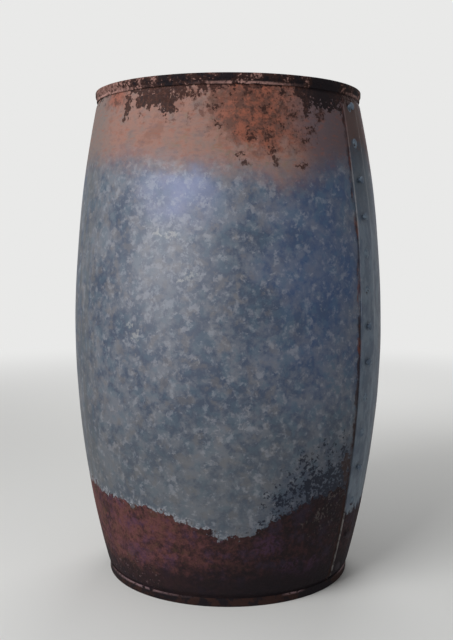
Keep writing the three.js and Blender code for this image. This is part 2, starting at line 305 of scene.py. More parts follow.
class Wire:
    """One socket's value. Python's operators on it add Math nodes to its tree.

    Of two values, | gives the larger and & the smaller.
    """

    def __init__(self, tree, socket):
        self.tree = tree
        self.socket = socket

    def maths(self, operation, first, second=0.0):
        return self.tree.node("ShaderNodeMath", {0: first, 1: second}, operation=operation)

    __add__ = __radd__ = math_node("ADD")
    __mul__ = __rmul__ = math_node("MULTIPLY")
    __sub__ = math_node("SUBTRACT")
    __rsub__ = math_node("SUBTRACT", swapped=True)
    __truediv__ = math_node("DIVIDE")
    __rtruediv__ = math_node("DIVIDE", swapped=True)
    __or__ = math_node("MAXIMUM")
    __and__ = math_node("MINIMUM")

    def __abs__(self):
        return self.maths("ABSOLUTE", self)

    def rise(self, low, high):
        """Nought below one value and one above another, with a soft step between them."""
        sockets = {0: self, 1: low, 2: high, 3: 0.0, 4: 1.0}
        return self.tree.node("ShaderNodeMapRange", sockets, interpolation_type="SMOOTHSTEP")

    def hump(self, centre, reach):
        """One at a value, falling softly to nought at a reach on both sides of it."""
        return 1 - abs(self - centre).rise(0.0, reach)

    def span(self, low, high, soft):
        """One between two values, falling softly to nought inside each of them."""
        return self.rise(low, low + soft) * (1 - self.rise(high - soft, high))


def emptied(owner):
    """The node tree of a material or a world, without its nodes."""
    owner.use_nodes = True
    owner.node_tree.nodes.clear()
    return owner.node_tree


class Tree:
    """A node tree that is built with one call for each node."""

    def __init__(self, tree):
        self.tree = tree

    def node(self, kind, sockets=None, output=0, **settings):
        """Adds a node, makes its settings, fills or links its sockets and returns one of its outputs."""
        made = self.tree.nodes.new(kind)
        for setting, value in settings.items():
            setattr(made, setting, value)
        for key, value in (sockets or {}).items():
            if isinstance(value, Wire):
                self.tree.links.new(value.socket, made.inputs[key])
            else:
                made.inputs[key].default_value = value
        return Wire(self, made.outputs[output]) if made.outputs else None

    def vector(self, x=0.0, y=0.0, z=0.0):
        return self.node("ShaderNodeCombineXYZ", {"X": x, "Y": y, "Z": z})

    def parts(self, vector):
        split = self.node("ShaderNodeSeparateXYZ", {"Vector": vector}).socket.node
        return [Wire(self, socket) for socket in split.outputs]

    def vectors(self, operation, first, output=0, **sockets):
        """A Vector Math node. A second vector or a scale is given by its socket's name."""
        named = {1 if name == "second" else name: value for name, value in sockets.items()}
        return self.node("ShaderNodeVectorMath", {0: first, **named}, output, operation=operation)


class Shader(Tree):
    """A material's tree, with the coordinates and patterns that the barrel's finishes share."""

    def __init__(self, name):
        self.material = bpy.data.materials.new(name)
        super().__init__(emptied(self.material))
        self.place = self.node("ShaderNodeTexCoord", output="Object")
        self.x, self.y, self.level = self.parts(self.place)
        turn = self.x.maths("ARCTAN2", self.x, 0.0 - self.y)
        self.azimuth = turn * math.degrees(1)

    def grain(self, size, detail=2.0, upright=1.0, shift=0.0, roughness=0.5):
        """Noise from 0 to 1 whose blots are about a given size across, and upright times as tall."""
        moved = {"Location": (shift, 0.7 * shift, 0.3 * shift), "Scale": (1.0, 1.0, 1.0 / upright)}
        spread = self.node("ShaderNodeMapping", {"Vector": self.place, **moved})
        sockets = {"Vector": spread, "Scale": 1.0 / size, "Detail": detail, "Roughness": roughness}
        return self.node("ShaderNodeTexNoise", sockets)

    def spangle(self, size, shift=0.0):
        """A random value from 0 to 1 for each ragged crystal of about a given size."""
        ragged = {"Vector": self.place, "Scale": 1.4 / size, "Detail": 3.0}
        warp = self.vectors("SCALE", self.node("ShaderNodeTexNoise", ragged, "Color"), Scale=1.6 * size)
        warped = self.vectors("ADD", warp, second=self.place)
        moved = self.vectors("ADD", warped, second=(shift, shift, shift))
        sockets = {"Vector": moved, "Scale": 1.0 / size, "Randomness": 1.0}
        return self.parts(self.node("ShaderNodeTexVoronoi", sockets, "Color"))[0]

    def line(self, points):
        """The height of a line round the barrel, from its (azimuth, height) points."""
        height = self.node("ShaderNodeFloatCurve", {"Value": self.azimuth / 360 + 0.5})
        mapping = height.socket.node.mapping
        curve = mapping.curves[0]
        places = [(azimuth / 360 + 0.5, level) for azimuth, level in points]
        curve.points[0].location = places[0]
        curve.points[-1].location = places[-1]
        for place in places[1:-1]:
            curve.points.new(*place)
        mapping.update()
        return height

    def blots(self, places):
        """Soft mounds with straying outlines, each at an azimuth and a level, and about so wide and tall."""
        strays = (self.grain(0.009, 3.0, shift=shift, roughness=0.6) - 0.5 for shift in (61.0, 66.0))
        sideways, upwards = strays
        sideways = self.azimuth + 9 * sideways
        upwards = self.level + 0.04 * upwards

        def apart(azimuth, level, wide, tall):
            across = (sideways - azimuth) / wide
            up = (upwards - level) / tall
            return across * across + up * up

        return 1 - reduce(and_, (apart(*place) for place in places)).rise(0.0, 2.5)

    def cluster(self, place, grit, strength):
        """Ragged spots of a grit pattern, which crowd together where a place's value is high."""
        return (grit + strength * place).rise(0.66, 0.73) * place.rise(0.0, 0.15)

    def mix(self, factor, under, over):
        """One colour over another, each either a wire or three numbers."""
        under, over = (value if isinstance(value, Wire) else (*value, 1.0) for value in (under, over))
        return self.node("ShaderNodeMix", {0: factor, 6: under, 7: over}, output=2, data_type="RGBA")

    def layers(self, under, *coats):
        """Coats of (factor, colour) over a colour, each over the one before."""
        return reduce(lambda below, coat: self.mix(coat[0], below, coat[1]), coats, under)

    def bump(self, height, depth, under=None):
        sockets = {"Height": height, "Distance": depth, "Strength": 1.0}
        if under is not None:
            sockets["Normal"] = under
        return self.node("ShaderNodeBump", sockets)

    def finish(self, colour, roughness, metallic, normal):
        sockets = {"Base Color": colour, "Roughness": roughness, "Metallic": metallic, "Normal": normal}
        surface = self.node("ShaderNodeBsdfPrincipled", {**sockets, "Specular IOR Level": GLOSS})
        self.node("ShaderNodeOutputMaterial", {"Surface": surface})
        return self.material


class Shaper(Tree):
    """A Geometry Nodes tree whose sizes are named inputs."""

    def __init__(self, name):
        super().__init__(bpy.data.node_groups.new(name, "GeometryNodeTree"))
        for way in ("INPUT", "OUTPUT"):
            self.tree.interface.new_socket("Geometry", in_out=way, socket_type="NodeSocketGeometry")
        self.entry = self.tree.nodes.new("NodeGroupInput")

    def given(self, name):
        return Wire(self, self.entry.outputs[name])

    def size(self, name, kind="Float"):
        """A new named input of the tree."""
        self.tree.interface.new_socket(name, in_out="INPUT", socket_type=f"NodeSocket{kind}")
        return self.given(name)

    def end(self, shape, material):
        shape = self.node("GeometryNodeRealizeInstances", {"Geometry": shape})
        shape = self.node("GeometryNodeSetMaterial", {"Geometry": shape, "Material": material})
        self.node("NodeGroupOutput", {"Geometry": shape})
        return self.tree


def placed(name, data):
    """A new object in the scene."""
    made = bpy.data.objects.new(name, data)
    bpy.context.scene.collection.objects.link(made)
    return made


def result(holder, *tools):
    """What an object's modifier makes of it, as a plain mesh. The objects themselves are removed."""
    name = holder.name
    whole = holder.evaluated_get(bpy.context.evaluated_depsgraph_get())
    mesh = bpy.data.meshes.new_from_object(whole)
    for item in (holder, *tools):
        bpy.data.objects.remove(item)
    if not mesh.polygons:
        raise RuntimeError(f"the modifier of {name} made no faces")
    return mesh


def grow(name, mesh, tree, sizes):
    """What a Geometry Nodes tree makes of a mesh, with its named sizes."""
    holder = placed(name, mesh)
    modifier = holder.modifiers.new(name, "NODES")
    modifier.node_group = tree
    for item in tree.interface.items_tree:
        if item.in_out == "INPUT" and item.name in sizes:
            modifier[item.identifier] = sizes[item.name]
    return result(holder)


def combined(mesh, tool, operation):
    """A mesh with another one cut out of it or grown onto it."""
    part, other = placed("part", mesh), placed("tool", tool)
    modifier = part.modifiers.new("combine", "BOOLEAN")
    modifier.operation = operation
    modifier.solver = "EXACT"
    modifier.object = other
    return result(part, other)


def mesh_of(name, shape):
    """A mesh with an edited shape, which is freed."""
    mesh = bpy.data.meshes.new(name)
    shape.to_mesh(mesh)
    shape.free()
    return mesh


def smooth(mesh):
    """Turns the faces outwards, and shades them smoothly up to the crease angle."""
    shape = bmesh.new()
    shape.from_mesh(mesh)
    if shape.calc_volume(signed=True) < 0:
        bmesh.ops.reverse_faces(shape, faces=shape.faces)
    shape.to_mesh(mesh)
    shape.free()
    mesh.shade_smooth()
    mesh.set_sharp_from_angle(angle=CREASE)
    return mesh


def joined(name, *meshes):
    """Several closed meshes as one."""
    shape = bmesh.new()
    for mesh in meshes:
        shape.from_mesh(mesh)
    return mesh_of(name, shape)


def block(name, width, depth, low, high, bevel, centre, turn=0.0):
    """A block with rounded edges, standing between two levels."""
    shape = bmesh.new()
    bmesh.ops.create_cube(shape, size=1.0)
    bmesh.ops.scale(shape, vec=(width, depth, high - low), verts=shape.verts)
    bmesh.ops.bevel(shape, geom=shape.edges, offset=bevel, segments=3, profile=0.5, affect="EDGES")
    bmesh.ops.rotate(shape, cent=(0.0, 0.0, 0.0), matrix=Matrix.Rotation(turn, 3, "Z"), verts=shape.verts)
    bmesh.ops.translate(shape, vec=(centre.x, centre.y, (low + high) / 2), verts=shape.verts)
    return mesh_of(name, shape)


def add_piece(name, mesh, material, body, nodes):
    """Adds a finished piece that stands for CAD nodes and moves with a body."""
    mesh.name = name
    mesh.materials.clear()
    mesh.materials.append(material)
    piece = placed(name, mesh)
    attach(piece, body)
    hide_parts(*nodes)
    return piece


# Outlines, as (radius, level) points

def arc(centre, radius, start, end, steps=6):
    """Points of an arc about (radius, level), between two angles in degrees from outwards towards up."""
    angles = (math.radians(start + (end - start) * i / steps) for i in range(steps + 1))
    return [(centre[0] + radius * math.cos(a), centre[1] + radius * math.sin(a)) for a in angles]


def upside_down(outline):
    return [(radius, -level) for radius, level in outline]


def outline_mesh(name, outline, closed):
    """An outline as a chain of edges in the XY plane, for the turning tree."""
    mesh = bpy.data.meshes.new(name)
    edges = [(i, i + 1) for i in range(len(outline) - 1)] + ([(len(outline) - 1, 0)] if closed else [])
    mesh.from_pydata([(radius, level, 0.0) for radius, level in outline], edges, [])
    return mesh


def hoop_outline(size, shell_radius, depth, bead):
    """A channel over the end of the shell and the head, with its open side down and a bead outside."""
    outer_leg = shell_radius + CLEARANCE
    outside = outer_leg + size.wall
    inner_leg = shell_radius - size.sheet - size.head_sheet - 2 * CLEARANCE
    inside = inner_leg - size.wall
    inner_depth = depth - size.inner_leg_shorter
    lip = size.wall / 2
    shoulder = size.shoulder
    return (
        [(outer_leg, -size.web), (outer_leg, lip - depth)]
        + arc((outer_leg + lip, lip - depth), lip, 180, 360)
        + [(outside, -0.72 * depth), (outside + 0.4 * bead, -0.6 * depth), (outside + bead, -0.46 * depth)]
        + arc((outside + bead - shoulder, -shoulder), shoulder, 0, 90)
        + arc((inside + shoulder, -shoulder), shoulder, 90, 180)
        + arc((inside + lip, lip - inner_depth), lip, 180, 360)
        + [(inner_leg, -size.web)]
    )


def head_outline(size, shell_radius, recess):
    """A dished disc whose rim turns up into the hoop and whose middle is pressed outwards."""
    rim_outside = shell_radius - size.sheet - CLEARANCE
    rim_inside = rim_outside - size.head_sheet
    rim_top = -size.web - CLEARANCE
    bend = (rim_inside - size.corner, size.corner - recess)
    panel_edge = size.panel_radius + size.panel_slope
    slope = [size.panel_radius + size.panel_slope * share for share in (0.0, 0.15, 0.3, 0.5, 0.7, 0.85, 1.0)]
    shares = [(panel_edge - radius) / size.panel_slope for radius in slope]
    rises = [size.panel_rise * share * share * (3 - 2 * share) for share in shares]
    pressed = [(radius, rise - recess) for radius, rise in zip(slope, rises)]
    flat = [(0.0, size.panel_rise - recess), (0.5 * size.panel_radius, size.panel_rise - recess)]
    upper = flat + pressed + [(0.5 * (panel_edge + bend[0]), -recess)]
    lower = [(radius, level - size.head_sheet) for radius, level in reversed(upper)]
    rim = [(rim_inside, rim_top), (rim_outside, rim_top)]
    inner_bend = arc(bend, size.corner, 270, 360)
    outer_bend = arc(bend, size.corner + size.head_sheet, 0, -90)
    return upper + inner_bend + rim + outer_bend + lower


def collar_outline(size, closure):
    """A threaded neck with a rolled lip above the head and a flange under it."""
    neck = closure.bore + size.collar_wall
    lip = size.collar_rise / 2
    chamfer = 0.0008
    flange_high = -size.head_sheet - CLEARANCE
    flange_low = flange_high - size.flange_thickness
    flange_edge = neck + size.flange_reach
    return (
        [(closure.bore, -closure.neck_below), (closure.bore, size.collar_rise - chamfer)]
        + [(closure.bore + chamfer, size.collar_rise)]
        + arc((neck + size.collar_curl - lip, size.collar_rise - lip), lip, 90, -70)
        + [(neck + SLACK, CLEARANCE), (neck, flange_high), (flange_edge, flange_high)]
        + [(flange_edge, flange_low), (neck, flange_low), (neck, -closure.neck_below)]
    )


def gasket_outline(size, closure):
    low = size.collar_rise + CLEARANCE
    high = low + closure.gasket
    inside = closure.core + CLEARANCE + SLACK
    outside = closure.bore + size.collar_wall + GASKET_OVERHANG
    bulge = closure.gasket / 2
    return [(inside, low), (inside, high)] + arc((outside - bulge, low + bulge), bulge, 90, -90)


def cap_outline(size, closure):
    """The plug's threaded core and its cap, from the axis below to the axis above."""
    low = size.collar_rise + closure.gasket + 2 * CLEARANCE
    high = low + closure.cap
    edge = closure.bore + size.collar_wall + size.collar_curl
    round_edge = 0.0011
    chamfer = 0.001
    return (
        [(0.0, -closure.core_below), (closure.core - chamfer, -closure.core_below)]
        + [(closure.core, chamfer - closure.core_below), (closure.core, low)]
        + arc((edge - round_edge, low + round_edge), round_edge, -90, 0, 3)
        + arc((edge - round_edge, high - round_edge), round_edge, 0, 90, 4)
        + [(0.0, high)]
    )


def rivet_outline(size, sheet):
    """A rivet from its tail to the top of its round head. The sheet's outside is at level nought."""
    under = -2 * sheet - 2 * CLEARANCE
    seat = -0.0001
    dome = (size.head_radius**2 + size.head_height**2) / (2 * size.head_height)
    spread = math.degrees(math.asin(size.head_radius / dome))
    return (
        [(0.0, under - size.tail_height), (0.7 * size.tail_radius, under - size.tail_height)]
        + [(size.tail_radius, under - 0.5 * size.tail_height), (0.96 * size.tail_radius, under)]
        + [(size.shank_radius, under), (size.shank_radius, seat), (size.head_radius, seat)]
        + arc((0.0, size.head_height - dome), dome, 90 - spread, 90, 6)
    )


# Geometry Nodes trees

def turning_tree():
    """Turns an outline round an upright axis, with a slight waviness as of beaten metal."""
    shaper = Shaper("turned_outline")
    centre = shaper.size("Centre", "Vector")
    segments = shaper.size("Segments", "Int")
    waviness = shaper.size("Waviness")
    wave_length = shaper.size("Wave Length")
    material = shaper.size("Material", "Material")
    # A profile is swept round a ring of radius one, and its Y points down there
    turned_over = {"Translation": (-1.0, 0.0, 0.0), "Scale": (1.0, -1.0, 1.0)}
    to_ring = shaper.node("GeometryNodeTransform", {"Geometry": shaper.given("Geometry"), **turned_over})
    profile = shaper.node("GeometryNodeMeshToCurve", {"Mesh": to_ring})
    ring = shaper.node("GeometryNodeCurvePrimitiveCircle", {"Resolution": segments, "Radius": 1.0})
    turned = shaper.node("GeometryNodeCurveToMesh", {"Curve": ring, "Profile Curve": profile})
    closed = shaper.node("GeometryNodeMergeByDistance", {"Geometry": turned, "Distance": 1e-6})
    moved = shaper.node("GeometryNodeTransform", {"Geometry": closed, "Translation": centre})
    place = shaper.node("GeometryNodeInputPosition")
    waves = {"Vector": place, "Scale": 1 / wave_length, "Detail": 1.0}
    wave = shaper.node("ShaderNodeTexNoise", waves, "Color")
    shift = shaper.vectors("SUBTRACT", wave, second=(0.5, 0.5, 0.5))
    scaled = shaper.vectors("SCALE", shift, Scale=waviness)
    beaten = shaper.node("GeometryNodeSetPosition", {"Geometry": moved, "Offset": scaled})
    return shaper.end(beaten, material)


def rivet_tree():
    """Sets a rivet on the sheet at each pitch down the seam, square to the sheet's surface."""
    shaper = Shaper("seam_of_rivets")
    sheet = shaper.size("Sheet", "Object")
    count = shaper.size("Count", "Int")
    top = shaper.size("Top Level")
    pitch = shaper.size("Pitch")
    seam = shaper.size("Seam Angle")
    clear = shaper.size("Clear Radius")
    variation = shaper.size("Variation")
    seed = shaper.size("Seed", "Int")
    material = shaper.size("Material", "Material")

    sideways = shaper.node("ShaderNodeMath", {0: seam}, operation="SINE")
    frontways = 0 - shaper.node("ShaderNodeMath", {0: seam}, operation="COSINE")
    start = shaper.vector(sideways * clear, frontways * clear, top)
    down = shaper.vector(z=0 - pitch)
    line = shaper.node("GeometryNodeMeshLine", {"Count": count, "Start Location": start, "Offset": down})
    surface = shaper.node("GeometryNodeObjectInfo", {"Object": sheet}, "Geometry")
    inwards = shaper.vector(0 - sideways, 0 - frontways)
    ray = {"Target Geometry": surface, "Ray Direction": inwards, "Ray Length": clear}
    found = shaper.node("GeometryNodeRaycast", ray, "Hit Position")
    outwards = Wire(shaper, found.socket.node.outputs["Hit Normal"])
    seats = shaper.node("GeometryNodeSetPosition", {"Geometry": line, "Position": found})
    facing = shaper.node("FunctionNodeAlignRotationToVector", {"Vector": outwards}, axis="Z")
    spread = {2: 1 - variation, 3: 1 + variation, "Seed": seed}
    size = shaper.node("FunctionNodeRandomValue", spread, 1, data_type="FLOAT")
    copies = {"Instance": shaper.given("Geometry"), "Rotation": facing, "Scale": size}
    rivets = shaper.node("GeometryNodeInstanceOnPoints", {"Points": seats, **copies})
    return shaper.end(rivets, material)


def thread_tree():
    """Winds a ridge round an upright core, as the thread of a plug."""
    shaper = Shaper("wound_thread")
    centre = shaper.size("Centre", "Vector")
    radius = shaper.size("Radius")
    pitch = shaper.size("Pitch")
    turns = shaper.size("Turns")
    steps = shaper.size("Steps", "Int")
    material = shaper.size("Material", "Material")
    ridge = shaper.node("GeometryNodeMeshToCurve", {"Mesh": shaper.given("Geometry")})
    helix = {"Rotations": turns, "Start Radius": radius, "End Radius": radius, "Height": pitch * turns}
    path = shaper.node("GeometryNodeCurveSpiral", {"Resolution": steps, **helix})
    upright = shaper.node("GeometryNodeSetCurveNormal", {"Curve": path}, mode="Z_UP")
    swept = {"Curve": upright, "Profile Curve": ridge, "Fill Caps": True}
    wound = shaper.node("GeometryNodeCurveToMesh", swept)
    moved = shaper.node("GeometryNodeTransform", {"Geometry": wound, "Translation": centre})
    return shaper.end(moved, material)


# The rolled sheet

def steps(start, end, count):
    """Evenly spaced values from start up to, but not including, end."""
    return [start + (end - start) * i / count for i in range(count)]


def eased(value, low, high):
    share = min(max((value - low) / (high - low), 0.0), 1.0)
    return share * share * (3 - 2 * share)


def shell_radius(level, size):
    """Radius of the sheet's outside: a bilge curve that bends into a straight collar inside each hoop."""
    neck = LOWER_NECK if level < size.belly_level else UPPER_NECK
    span = neck["level"] - size.belly_level
    drop = size.belly_radius - neck["radius"]
    share = (level - size.belly_level) / span
    if share <= 1:
        return size.belly_radius - drop * share**2
    bend = neck["end_level"] - neck["level"]
    along = min((level - neck["level"]) / bend, 1.0)
    start_slope = -2 * drop / span * bend
    return (
        (2 * along**3 - 3 * along**2 + 1) * neck["radius"]
        + (along**3 - 2 * along**2 + along) * start_slope
        + (3 * along**2 - 2 * along**3) * neck["end_radius"]
    )


def between_necks(level, reach=0.0):
    """One between the hoops, falling to nought where the sheet runs into them."""
    low = eased(level, LOWER_NECK["end_level"], LOWER_NECK["level"] + reach)
    high = eased(level, UPPER_NECK["end_level"], UPPER_NECK["level"] - reach)
    return low * high


def lap_lift(turn, level, size):
    """How far the outer layer stands off the inner one, at an angle from the lap's edge."""
    if turn > LAP_WIDTH + JOGGLE_WIDTH:
        return 0.0
    back_down = 1 - eased(turn, LAP_WIDTH, LAP_WIDTH + JOGGLE_WIDTH)
    return (size.sheet + CLEARANCE) * back_down * between_necks(level)


def unevenness(azimuth, level, size):
    """Slow swells of hand-rolled sheet, and the hollow that each rivet pulls round itself."""
    spot = Vector((math.sin(azimuth), math.cos(azimuth), 3.2 * level))
    swell = noise.noise(1.7 * spot) + 0.45 * noise.noise(4.1 * spot + Vector((7.0, 2.0, 5.0)))
    hollow = 0.0
    across = (math.degrees(azimuth) - RIVET_LINE) % 360
    across = math.radians(min(across, 360 - across)) * size.belly_radius
    if across < 3 * size.dimple_reach:
        nearest = round((TOP_RIVET - level) / RIVET_PITCH)
        if 0 <= nearest < len(RIVET_NODES):
            apart = math.hypot(across, TOP_RIVET - nearest * RIVET_PITCH - level)
            hollow = size.dimple * math.exp(-((apart / size.dimple_reach) ** 2))
    return size.unevenness * swell * between_necks(level, 0.06) - hollow


def sheet_point(turn, level, layer, size):
    azimuth = math.radians(SEAM_EDGE + turn)
    radius = shell_radius(level, size) + lap_lift(turn, level, size) + unevenness(azimuth, level, size)
    from_edge = math.radians(turn) * radius
    if layer == 0 and from_edge < size.worn_edge:
        radius -= size.worn_edge - math.sqrt(size.worn_edge**2 - (size.worn_edge - from_edge) ** 2)
    radius -= layer * size.sheet
    return (math.sin(azimuth) * radius, -math.cos(azimuth) * radius, level)


def sheet_mesh(size):
    """The rolled sheet as one closed solid, with the hidden layer of the lap left out inside the hoops."""
    worn = math.degrees(size.worn_edge / size.belly_radius)
    butt = 360.0 - math.degrees(CLEARANCE / size.belly_radius)
    edge_turns = [0.0, 0.12 * worn, 0.4 * worn, worn]
    past_joggle = LAP_WIDTH + JOGGLE_WIDTH + 1
    turns = edge_turns + steps(0.5, past_joggle, SHEET_COLUMNS["lap"])
    turns += steps(past_joggle, butt, SHEET_COLUMNS["round"])
    butt_column = len(turns)
    turns += steps(butt, FLAP_END, SHEET_COLUMNS["flap"]) + [FLAP_END]
    levels = steps(SHELL_LOW, LOWER_NECK["end_level"], SHEET_ROWS["end"])
    levels += steps(LOWER_NECK["end_level"], LOWER_NECK["level"], SHEET_ROWS["neck"])
    flap_low = len(levels)
    levels += steps(LOWER_NECK["level"], UPPER_NECK["level"], SHEET_ROWS["bilge"])
    flap_high = len(levels)
    levels += steps(UPPER_NECK["level"], UPPER_NECK["end_level"], SHEET_ROWS["neck"])
    levels += steps(UPPER_NECK["end_level"], SHELL_HIGH, SHEET_ROWS["end"]) + [SHELL_HIGH]

    points = [
        sheet_point(turn, level, layer, size) for layer in (0, 1) for turn in turns for level in levels
    ]

    def corner(layer, column, row):
        return (layer * len(turns) + column) * len(levels) + row

    def filled(column, row):
        inside = 0 <= column < len(turns) - 1 and 0 <= row < len(levels) - 1
        return inside and (column < butt_column or flap_low <= row < flap_high)

    faces = []
    for column in range(len(turns) - 1):
        for row in range(len(levels) - 1):
            if not filled(column, row):
                continue
            spots = [(column, row), (column + 1, row), (column + 1, row + 1), (column, row + 1)]
            outside = [corner(0, *spot) for spot in spots]
            inside = [corner(1, *spot) for spot in spots]
            faces += [outside, inside[::-1]]
            beside = [(column, row - 1), (column + 1, row), (column, row + 1), (column - 1, row)]
            for side, spot in enumerate(beside):
                if not filled(*spot):
                    after = (side + 1) % 4
                    faces.append((outside[after], outside[side], inside[side], inside[after]))
    mesh = bpy.data.meshes.new("body_sheet")
    mesh.from_pydata(points, [], faces)
    return smooth(mesh)


# Finishes

# Lines round the barrel, as (azimuth in degrees, height). Both ends lie at the back.
TIDE_LINE = (
    (-180, 0.150), (-110, 0.165), (-69, 0.186), (-48, 0.178), (-24, 0.167), (-10, 0.146), (5, 0.129),
    (12, 0.146), (22, 0.170), (36, 0.192), (50, 0.198), (53, 0.142), (64, 0.145), (100, 0.170),
    (140, 0.140), (180, 0.150),
)
DUST_LINE = (
    (-180, 0.755), (-110, 0.740), (-60, 0.765), (-42, 0.760), (-10, 0.752), (6, 0.738), (20, 0.722),
    (40, 0.752), (60, 0.770), (110, 0.745), (180, 0.755),
)
SCALE_LINE = (
    (-180, 0.864), (-110, 0.868), (-62, 0.876), (-47, 0.880), (-41, 0.866), (-33, 0.856), (-24, 0.855),
    (-16, 0.862), (-6, 0.869), (8, 0.873), (22, 0.871), (29, 0.856), (36, 0.847), (47, 0.851),
    (56, 0.866), (80, 0.872), (120, 0.860), (180, 0.864),
)

# Marks on the sheet, as (azimuth in degrees, height, half width in degrees, half height)
DRIPS = (
    (-42.7, 0.856, 1.5, 0.021), (31, 0.851, 1.6, 0.016), (-33, 0.862, 5, 0.012), (-23, 0.853, 3.5, 0.016),
    (-28, 0.862, 4, 0.012),
)
BLISTERS = (
    (7, 0.805, 1.2, 0.007), (8.5, 0.797, 1.4, 0.005), (14, 0.796, 1.1, 0.010), (15.5, 0.775, 1.6, 0.006),
    (4, 0.766, 1.4, 0.005), (6, 0.752, 1.5, 0.005), (17, 0.757, 1.5, 0.006), (32, 0.811, 1.9, 0.008),
    (27, 0.752, 1.9, 0.005), (13.5, 0.842, 1.9, 0.008), (-5, 0.846, 2.6, 0.007), (24, 0.835, 2.0, 0.009),
    (37, 0.838, 2.2, 0.009), (-3, 0.817, 1.3, 0.004), (20, 0.815, 1.2, 0.006), (29, 0.792, 1.3, 0.006),
)
SOOT = (
    (39, 0.238, 1.9, 0.012), (27, 0.255, 2.2, 0.010), (25, 0.281, 1.8, 0.008), (46, 0.262, 2.0, 0.012),
    (44, 0.222, 4.0, 0.014), (33, 0.216, 4.0, 0.014), (20, 0.196, 3.0, 0.010), (30, 0.236, 4.0, 0.010),
    (38, 0.268, 2.0, 0.010), (34, 0.290, 1.8, 0.008),
)
SEEP = ((48.5, 0.243, 2.2, 0.013), (49.5, 0.222, 1.4, 0.016))
VIOLET_PLACES = (
    (36, 0.058, 7, 0.014), (26, 0.066, 5, 0.012), (16, 0.115, 5, 0.016), (-40, 0.085, 7, 0.014),
)
PALE_SPOTS = (
    (-24, 0.643, 1.0, 0.004), (-19, 0.638, 1.1, 0.004), (-12, 0.573, 1.3, 0.005), (-15, 0.566, 1.0, 0.004),
    (-32, 0.473, 0.9, 0.006), (-35, 0.489, 0.8, 0.004),
)

# Rubbed places on the hoops, as (azimuth in degrees, half width in degrees)
TOP_RUBBED = ((8, 26), (-60, 26), (66, 12))
BOTTOM_RUBBED = ((-46, 36), (30, 8), (70, 14))
ALL_ROUND = ((0, 180),)


def zinc_colour(shader, colours):
    """Old zinc in clouds and crystals of grey and blue, with painted light making it paler at the front's
    left, painted shade making it bluer at its right, and a painted lavender reflection below the dust.
    """
    level, azimuth = shader.level, shader.azimuth
    clouds = shader.grain(0.075, 3.0, shift=5.2)
    mottle = shader.grain(0.020, 5.0, shift=1.7, roughness=0.68)
    crystals = 0.6 * shader.spangle(0.0105, shift=2.0) + 0.4 * shader.spangle(0.0055, shift=7.0)
    tone = 0.55 * clouds + 0.72 * mottle + 0.14 * crystals
    tint = shader.grain(0.020, 4.0, shift=24.0) + 0.14 * shader.spangle(0.012, shift=19.0)
    # Painted shade: right of the front the zinc's flecks turn from beige to darker teal
    right = azimuth.hump(44, 40)
    swirl = 30 * (clouds - 0.5)
    moved_level = level + 0.005 * swirl
    # Painted light: the zinc is paler, and its pale flecks crowd, where the front's left faces the lamp
    painted_light_side = (azimuth + swirl).hump(-24, 30) * level.hump(0.61, 0.27)
    # Painted shade: a dark blue wash over the zinc right of the front
    painted_shade_side = (azimuth + 2 * swirl).hump(35, 38) * moved_level.hump(0.58, 0.36)
    # Painted reflection: a soft lavender patch below the dust
    painted_reflection = (azimuth + swirl).hump(-18, 26) * moved_level.hump(0.704, 0.072)
    low = 1 - (level + 0.003 * swirl).rise(0.22, 0.42)
    scatter = 0.74 * shader.grain(0.013, 5.0, shift=6.3, roughness=0.64) + 0.18 * crystals + 0.05 * painted_light_side
    flecks = scatter.rise(0.485, 0.60)
    streaks = shader.grain(0.011, 4.0, upright=7.0, shift=33.0)
    edge = azimuth.span(-150, -46, 20)
    colour = shader.layers(
        colours.zinc_dark,
        (tone.rise(0.57, 0.83), colours.zinc),
        ((0.45 - 0.3 * right) * tint.rise(0.62, 0.72), colours.zinc_beige),
        ((0.40 + 0.3 * right) * (1 - tint.rise(0.44, 0.56)), colours.zinc_teal),
        (0.36 * painted_light_side, colours.zinc_pale),
        (0.70 * painted_shade_side * (1.4 - tone), colours.zinc_blue_shade),
        (0.40 * low, colours.zinc_low),
        (0.56 * painted_reflection, colours.lavender_reflection),
        ((0.32 + 0.10 * painted_light_side) * flecks, colours.zinc_pale),
        (0.35 * shader.blots(PALE_SPOTS), colours.zinc_spot),
        (0.6 * edge * streaks.rise(0.38, 0.62), colours.streak_grey),
    )
    return colour, tone


def dust_layer(shader, colours, under, ragged, coarse):
    """Rust dust washed down from the top hoop: pink at the left, orange and gritty towards the right, and
    darkened to purple grey right of the front by painted shade.
    """
    level, azimuth = shader.level, shader.azimuth
    edge = shader.line(DUST_LINE)
    cover = (level + 0.05 * ragged + 0.04 * coarse).rise(edge - 0.030, edge + 0.036)
    stain = shader.grain(0.035, 6.0, shift=12.4, roughness=0.66)
    olive = shader.grain(0.022, 5.0, shift=57.0, roughness=0.62).rise(0.55, 0.66) * azimuth.hump(4, 44)
    smears = shader.grain(0.018, 5.0, upright=0.35, shift=63.0, roughness=0.62)
    grit = shader.grain(0.014, 5.0, shift=42.0, roughness=0.72)
    rust = shader.mix(grit.rise(0.40, 0.60), colours.rust_orange, colours.rust_brown)
    low = 0.80 - 0.05 * azimuth.rise(-14, 14)
    warm = (level + 0.10 * ragged + 0.05 * coarse).rise(low, low + 0.05)
    warm = warm * (azimuth + 24 * coarse).hump(11, 33)
    warm = warm * (grit + 0.5 * warm).rise(0.46, 0.80)
    dust = shader.layers(
        colours.dust,
        (0.65 * stain.rise(0.42, 0.66), colours.dust_grey),
        (0.3 * (1 - stain.rise(0.34, 0.46)), colours.rust_brown),
        (0.6 * olive, colours.dust_olive),
        (0.75 * azimuth.span(-160, -46, 16), colours.dust_grey),
        # Painted shade: the dust turns purple grey right of the front
        (0.85 * (azimuth + 30 * coarse).span(15, 150, 22), colours.dust_and_shade),
        (0.4 * smears.rise(0.53, 0.64), colours.rust_bright),
        (0.3 * (1 - smears.rise(0.36, 0.46)), colours.dust_and_shade),
        (0.9 * warm, rust),
    )
    return shader.mix(cover, under, dust), cover


